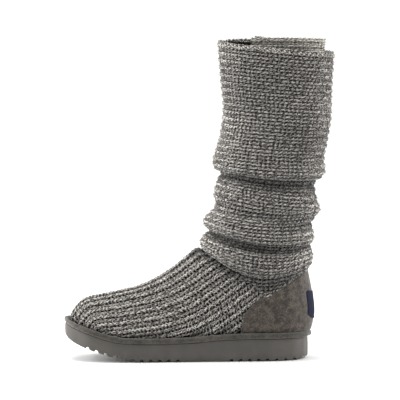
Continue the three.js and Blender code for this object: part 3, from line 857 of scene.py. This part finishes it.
# Cast-off edge: two strands of yarn twisted round each other along the rim line
def makeRim():
    angles = evenAngles(rope["steps"])
    line = skin(shaftRows, rimPlaces(angles, rope["underRim"]), angles, -rope["inside"])
    line = (np.roll(line, 1, 0) + line + np.roll(line, -1, 0)) / 3
    length = pathLengths(np.concatenate([line, line[:1]]))
    turns = round(length[-1] / rope["pitch"])
    phase = length[:-1] / length[-1] * turns * 2 * math.pi
    tangent = unit(np.roll(line, -1, 0) - np.roll(line, 1, 0))
    outward = (line - line.mean(0)) * [1, 1, 0]
    side = unit(outward - tangent * np.sum(outward * tangent, -1, keepdims=True))
    up = np.cross(tangent, side)
    turn = evenAngles(rope["sides"])
    ring = np.cos(turn)[:, None] * side[:, None] + np.sin(turn)[:, None] * up[:, None]
    points, faces, uvs = [], [], []
    for strand in (0, math.pi):
        swing = np.cos(phase + strand)[:, None] * side + np.sin(phase + strand)[:, None] * up
        centre = line + swing * rope["twist"]
        points.append((centre[:, None] + ring * rope["strand"]).reshape(-1, 3))
        faces.append(gridFaces(rope["steps"], rope["sides"], True, True) + len(faces) * len(points[0]))
        uvs.append(gridUvs(length, np.arange(rope["sides"] + 1) / rope["sides"]))
    points, faces, uvs = (np.concatenate(parts) for parts in (points, faces, uvs))
    made = makePiece("rim_cast_off", points, faces, shaftYarn, "knit", uvs=uvs)
    addValues(made, "shade", np.ones(len(points)))


makeRim()

sole = {
    "corner": 0.0026,  # how far the tread edge is rounded in, and how high
    "cornerHeight": 0.0038,
    "grooveDepth": 0.0026,
    "grooveWidth": 0.0034,
    "groovePitch": 0.0096,
    "flank": 0.0002,  # half the run of a groove's flank
    "arch": (0.34, 0.52),  # no grooves between these shares of the length,
    "tread": (0.015, 0.92),  # nor outside these
    "sharp": math.radians(35),
}


# Depth of the tread grooves at each x, half a pitch off the heel seat's middle
def tread(x):
    phase = np.abs((x / sole["groovePitch"]) % 1 - 0.5) * sole["groovePitch"]
    inGroove = np.clip((sole["grooveWidth"] / 2 + sole["flank"] - phase) / (2 * sole["flank"]), 0, 1)
    along = shareAlong(x)
    arch = (along > sole["arch"][0]) & (along < sole["arch"][1])
    ends = (along < sole["tread"][0]) | (along > sole["tread"][1])
    return np.where(arch | ends, 0.0, inGroove) * sole["grooveDepth"]


# Shares from 0 to 1, closest together at both ends
def easedShares(count):
    return 0.5 * (1 - np.cos(np.linspace(0, math.pi, count)))


# Stations along the sole: close together at both ends and at every groove's flanks
def soleStations():
    middle = (np.arange(-30, 12) + 0.5) * sole["groovePitch"]
    flanks = sole["grooveWidth"] / 2 + sole["flank"] * np.array([-1, 1])
    edges = shareAlong(np.concatenate([middle + side * flank for side in (-1, 1) for flank in flanks]))
    return np.unique(np.concatenate([easedShares(221), edges[(edges > 0.01) & (edges < 0.99)]]))


# Places along a loop down the inner side to the toe and back up the outer side
def loopX(stations):
    return alongX(np.concatenate([stations, stations[-2:0:-1]]))


# Outline of the sole pulled in by an inset
def outline(stations, inset, height):
    inner = -smoothLine(innerRows, stations) * boot["ballWidth"]
    outer = smoothLine(outerRows, stations) * boot["ballWidth"]
    x = loopX(stations)
    y = np.concatenate([inner, outer[-2:0:-1]])
    run = unit(np.stack([np.roll(x, -1) - np.roll(x, 1), np.roll(y, -1) - np.roll(y, 1)], -1))
    x, y = x + inset * run[:, 1], y - inset * run[:, 0]
    return np.stack([x, y, height(x)], -1)


# Outsole: loops from the tread over its rounded edge and up the wall, closed below and on top
def makeOutsole():
    stations = soleStations()
    layers = [
        (sole["corner"], lambda x: soleUnder(x) + tread(x)),
        (sole["corner"] * 0.45, lambda x: soleUnder(x) + np.maximum(0.0005, tread(x))),
        (sole["corner"] * 0.12, lambda x: soleUnder(x) + np.maximum(0.0014, tread(x))),
        (0.0, lambda x: soleUnder(x) + sole["cornerHeight"]),
        (-0.0002, lambda x: 0.5 * (soleUnder(x) + soleTop(x))),
        (0.0, lambda x: soleTop(x) - 0.002),
        (0.0003, lambda x: soleTop(x) - 0.0004),
        (0.0009, soleTop),
    ]
    rings = np.stack([outline(stations, inset, height) for inset, height in layers])
    count = rings.shape[1]
    above = (len(layers) - 1) * count
    i = np.arange(1, len(stations) - 2)
    caps = np.stack([i, i + 1, count - i - 1, count - i], -1)
    ends = np.array([[0, 1, count - 1], [len(stations) - 2, len(stations) - 1, len(stations)]])
    faces = []
    for part in (gridFaces(len(layers), count, closedColumns=True, turned=True), caps, caps[:, ::-1] + above,
                 ends, ends[:, ::-1] + above):
        faces += part.tolist()
    made = makePiece("outsole_foam", rings, faces, foamMaterial, "sole_foam", "outsole")
    made.data.set_sharp_from_angle(angle=sole["sharp"])


makeOutsole()

binding = {
    "height": 0.0062,
    "proud": 0.0024,
    "inset": 0.0016,
    "gap": 0.0003,
    "square": 0.85,  # power of its section: 1 is round, and less is squarer
    "back": 0.0015,  # the strip sits this far back
    "joint": 0.236,  # where its free end overlaps on the inner side, as a share of the sole
    "slant": 1.6,  # how far that end runs forward for each metre it rises
    "overlap": 0.0007,
    "step": 0.0006,  # run of the free end's edge
    "lap": (0.01, 0.05),  # behind it the strip stands out so far, and fades out to here
}


# Binding: a rounded strip carried round the sole's outline. Behind the slanting joint on the inner side
# it lies on its own other end, and stands out by the overlap.
def makeBinding():
    close = np.linspace(binding["joint"] - 0.03, binding["joint"] + 0.08, 130)
    stations = np.unique(np.concatenate([easedShares(181), close]))
    turn = evenAngles(20)
    out, rise = (np.sign(a) * np.abs(a) ** binding["square"] for a in (np.cos(turn), np.sin(turn)))
    inset = np.where(out > 0, -binding["proud"], -binding["inset"]) * out
    x = loopX(stations)
    inner = np.arange(len(x)) < len(stations)
    fullLap, noLap = binding["lap"]
    rings = []
    for i, r in zip(inset, rise):
        up = binding["gap"] + binding["height"] * (1 + r) / 2
        edge = alongX(binding["joint"]) - binding["slant"] * up
        lapped = np.clip((x - edge) / binding["step"], 0, 1) * inner
        lapped = lapped * np.clip((edge + noLap - x) / (noLap - fullLap), 0, 1)
        more = binding["overlap"] * lapped * (i < 0)
        ring = outline(stations, i - more, lambda x, up=up: soleTop(x + binding["back"]) + up)
        rings.append(ring + [binding["back"], 0, 0])
    points = np.stack(rings)
    faces = gridFaces(len(turn), points.shape[1], True, True, turned=True)
    makePiece("binding_suede", points, faces, bindingMaterial, "binding", "binding")


makeBinding()
print("sole and binding made")

counter = {
    "under": 0.0003,  # clearance over the knit
    "thick": 0.0016,
    "rows": 60,
    "columns": 120,  # from its front to the middle of the heel
    "underSeam": 0.0006,
    "foot": 0.060,  # height of its lower edge, as a share of the boot's
    "heelFoot": 13.35,  # the same at the heel's middle, as a place
    "footEnd": 0.010,  # where its lower and upper edge end at the heel
    "topEnd": 0.008,
}


# Place and angle on the last of side view points, each by the nearest point of a fine net
def onLast(x, z):
    places = np.linspace(7, len(lastRows) - 1, 700)
    angles = np.linspace(0.3, math.pi, 500)
    net = skin(lastRows, places[:, None], angles)
    found = []
    for px, pz in zip(x, z):
        away = (net[..., 0] - px) ** 2 + (net[..., 2] - pz) ** 2
        i, j = np.unravel_index(np.argmin(away), away.shape)
        found.append((places[i], angles[j]))
    return np.array(found)


# Inner half of the counter: a Coons patch, in place and angle, between its four edges on the last
def counterNet(rows, columns):
    up = np.linspace(0, 1, rows)
    across = np.linspace(0, 1, columns)
    front = np.array(counterFront)
    steps = pathLengths(front)
    steps /= steps[-1]
    frontEdge = onLast(alongX(np.interp(up, steps, front[:, 0])), upZ(np.interp(up, steps, front[:, 1])))
    bottomX = alongX(np.interp(across, [0, 1], [front[0, 0], counter["footEnd"]]))
    topX = alongX(np.interp(across, [0, 1], [front[-1, 0], counter["topEnd"]]))
    topEdge = onLast(topX, lineHeight(ankleSeam, topX) - counter["underSeam"])
    bottomEdge = onLast(bottomX, np.full(columns, upZ(counter["foot"])))
    heelPlace = np.linspace(counter["heelFoot"], topEdge[-1][0], rows)
    heelEdge = np.stack([heelPlace, np.full(rows, math.pi)], -1)
    bottomEdge[0], bottomEdge[-1] = frontEdge[0], heelEdge[0]
    topEdge[0], topEdge[-1] = frontEdge[-1], heelEdge[-1]
    across, up = across[None, :, None], up[:, None, None]
    ruled = (1 - across) * frontEdge[:, None] + across * heelEdge[:, None]
    ruled = ruled + (1 - up) * bottomEdge + up * topEdge
    corners = (1 - across) * (1 - up) * frontEdge[0] + across * (1 - up) * heelEdge[0]
    corners = corners + (1 - across) * up * frontEdge[-1] + across * up * heelEdge[-1]
    return ruled - corners


def makeCounter():
    half = counterNet(counter["rows"], counter["columns"])
    other = half[:, -2::-1].copy()
    other[..., 1] = 2 * math.pi - other[..., 1]
    net = np.concatenate([half, other], 1)
    under = skin(lastRows, net[..., 0], net[..., 1], counter["under"])
    over = skin(lastRows, net[..., 0], net[..., 1], counter["under"] + counter["thick"])
    makePiece("counter_suede", *closedSheet(over, under), counterMaterial, "suede", "heel_counter")


makeCounter()

label = {
    "width": 0.038,
    "height": 0.029,
    "middle": 0.0585,  # height of its middle over the floor
    "under": 0.0018,  # its inner side lies this far over the knit
    "thick": 0.0008,
    "corner": 0.004,  # radius of its corners
    "heelHalf": 0.382,  # half width of the heel behind it, as a share of the ball's width
    "rows": 24,
    "columns": 40,
}


# Blank label on the back of the heel, a grid laid over the counter
def makeLabel():
    places = np.linspace(13, len(lastRows) - 1, 400)
    spine = skin(lastRows, places, math.pi)
    heights = label["middle"] + label["height"] * np.linspace(-0.5, 0.5, label["rows"])
    place = np.interp(heights, spine[:, 2], places)[:, None]
    corner = label["corner"]
    fromEnd = np.clip(label["height"] / 2 - np.abs(heights - label["middle"]), 0, corner)
    cut = corner - np.sqrt(corner ** 2 - (corner - fromEnd) ** 2)
    reach = np.linspace(-0.5, 0.5, label["columns"]) * (label["width"] - 2 * cut)[:, None]
    angle = math.pi + np.arcsin(np.clip(-reach / (label["heelHalf"] * boot["ballWidth"]), -1, 1))
    low = skin(lastRows, place, angle, label["under"])
    high = skin(lastRows, place, angle, label["under"] + label["thick"])
    makePiece("label_patch", *closedSheet(high, low, turned=True), patchMaterial, "label", "heel_label")


makeLabel()
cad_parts["insole"].data.materials[0] = pileMaterial
print("counter, label and insole made")

# Camera as in the photograph: a little above level, far off with a long lens
camera = {
    "scale": 0.931,  # photograph pixels for a millimetre
    "heelSeatPixel": 271.7,  # the heel seat's middle there
    "floorPixel": 357.6,
    "elevation": math.radians(4.5),
    "distance": 4.6,
    "frame": 400,
    "sensor": 36,
    "clipEnd": 50,
}


# The lens is the sensor's half width times the distance, over half the width of what it sees there
def makeCamera():
    data = bpy.data.cameras.new("camera")
    made = placed("camera", data)
    middle = camera["frame"] / 2
    rise = camera["elevation"]
    aim = Vector((
        (middle - camera["heelSeatPixel"]) / camera["scale"] / 1000,
        0,
        (camera["floorPixel"] - middle) / camera["scale"] / 1000 / math.cos(rise),
    ))
    back = Vector((0, -math.cos(rise), math.sin(rise)))
    made.location = aim + back * camera["distance"]
    made.rotation_euler = (-back).to_track_quat("-Z", "Y").to_euler()
    half = camera["frame"] / camera["scale"] / 1000 / 2
    data.sensor_width = camera["sensor"]
    data.lens = data.sensor_width / 2 * camera["distance"] / half
    data.clip_end = camera["clipEnd"]
    bpy.context.scene.camera = made


makeCamera()

studio = {
    "half": 14,  # half the side of the floor
    "aim": (0, 0, 0.15),
    "lightSize": 1.2,
    "behind": -0.9,  # the room is darkest up to this Y of a view ray, and
    "ahead": 0.2,  # brightest from here
    "dark": 0.12,
    "bright": 1.5,
}
lights = [
    ("leftLight", (-1.8, 0.1, 0.9), 27),
    ("rightLight", (1.8, 0.0, 0.9), 16),
    ("topLight", (-0.5, -0.1, 2.2), 20),
]


# Studio: a pale floor, a bright room and soft lights
def makeStudio():
    floorMaterial = startMaterial("studioPaper", {"Roughness": 0.9, "Base Color": linear("#fafafa")})
    mesh = bpy.data.meshes.new("floor")
    corners = [(-1, -1), (1, -1), (1, 1), (-1, 1)]
    mesh.from_pydata([(x * studio["half"], y * studio["half"], 0) for x, y in corners], [], [(0, 1, 2, 3)])
    mesh.materials.append(floorMaterial)
    placed("floor", mesh)
    world = bpy.data.worlds.new("room")
    bpy.context.scene.world = world
    world.use_nodes = True
    room = world.node_tree.nodes["Background"]
    room.inputs["Color"].default_value = (1, 1, 1, 1)
    look = addNode(world, "ShaderNodeTexCoord")
    way = addNode(world, "ShaderNodeSeparateXYZ", None, {"Vector": (look, "Generated")})
    glow = addNode(world, "ShaderNodeMapRange", None, {
        "Value": (way, "Y"), "From Min": studio["behind"], "From Max": studio["ahead"],
        "To Min": studio["dark"], "To Max": studio["bright"]})
    world.node_tree.links.new(glow.outputs["Result"], room.inputs["Strength"])
    bpy.context.scene.view_settings.view_transform = "Standard"
    for name, place, power in lights:
        data = bpy.data.lights.new(name, "AREA")
        data.energy = power
        data.size = studio["lightSize"]
        light = placed(name, data)
        light.location = place
        light.rotation_euler = (Vector(studio["aim"]) - Vector(place)).to_track_quat("-Z", "Y").to_euler()


makeStudio()
print("camera and studio made")
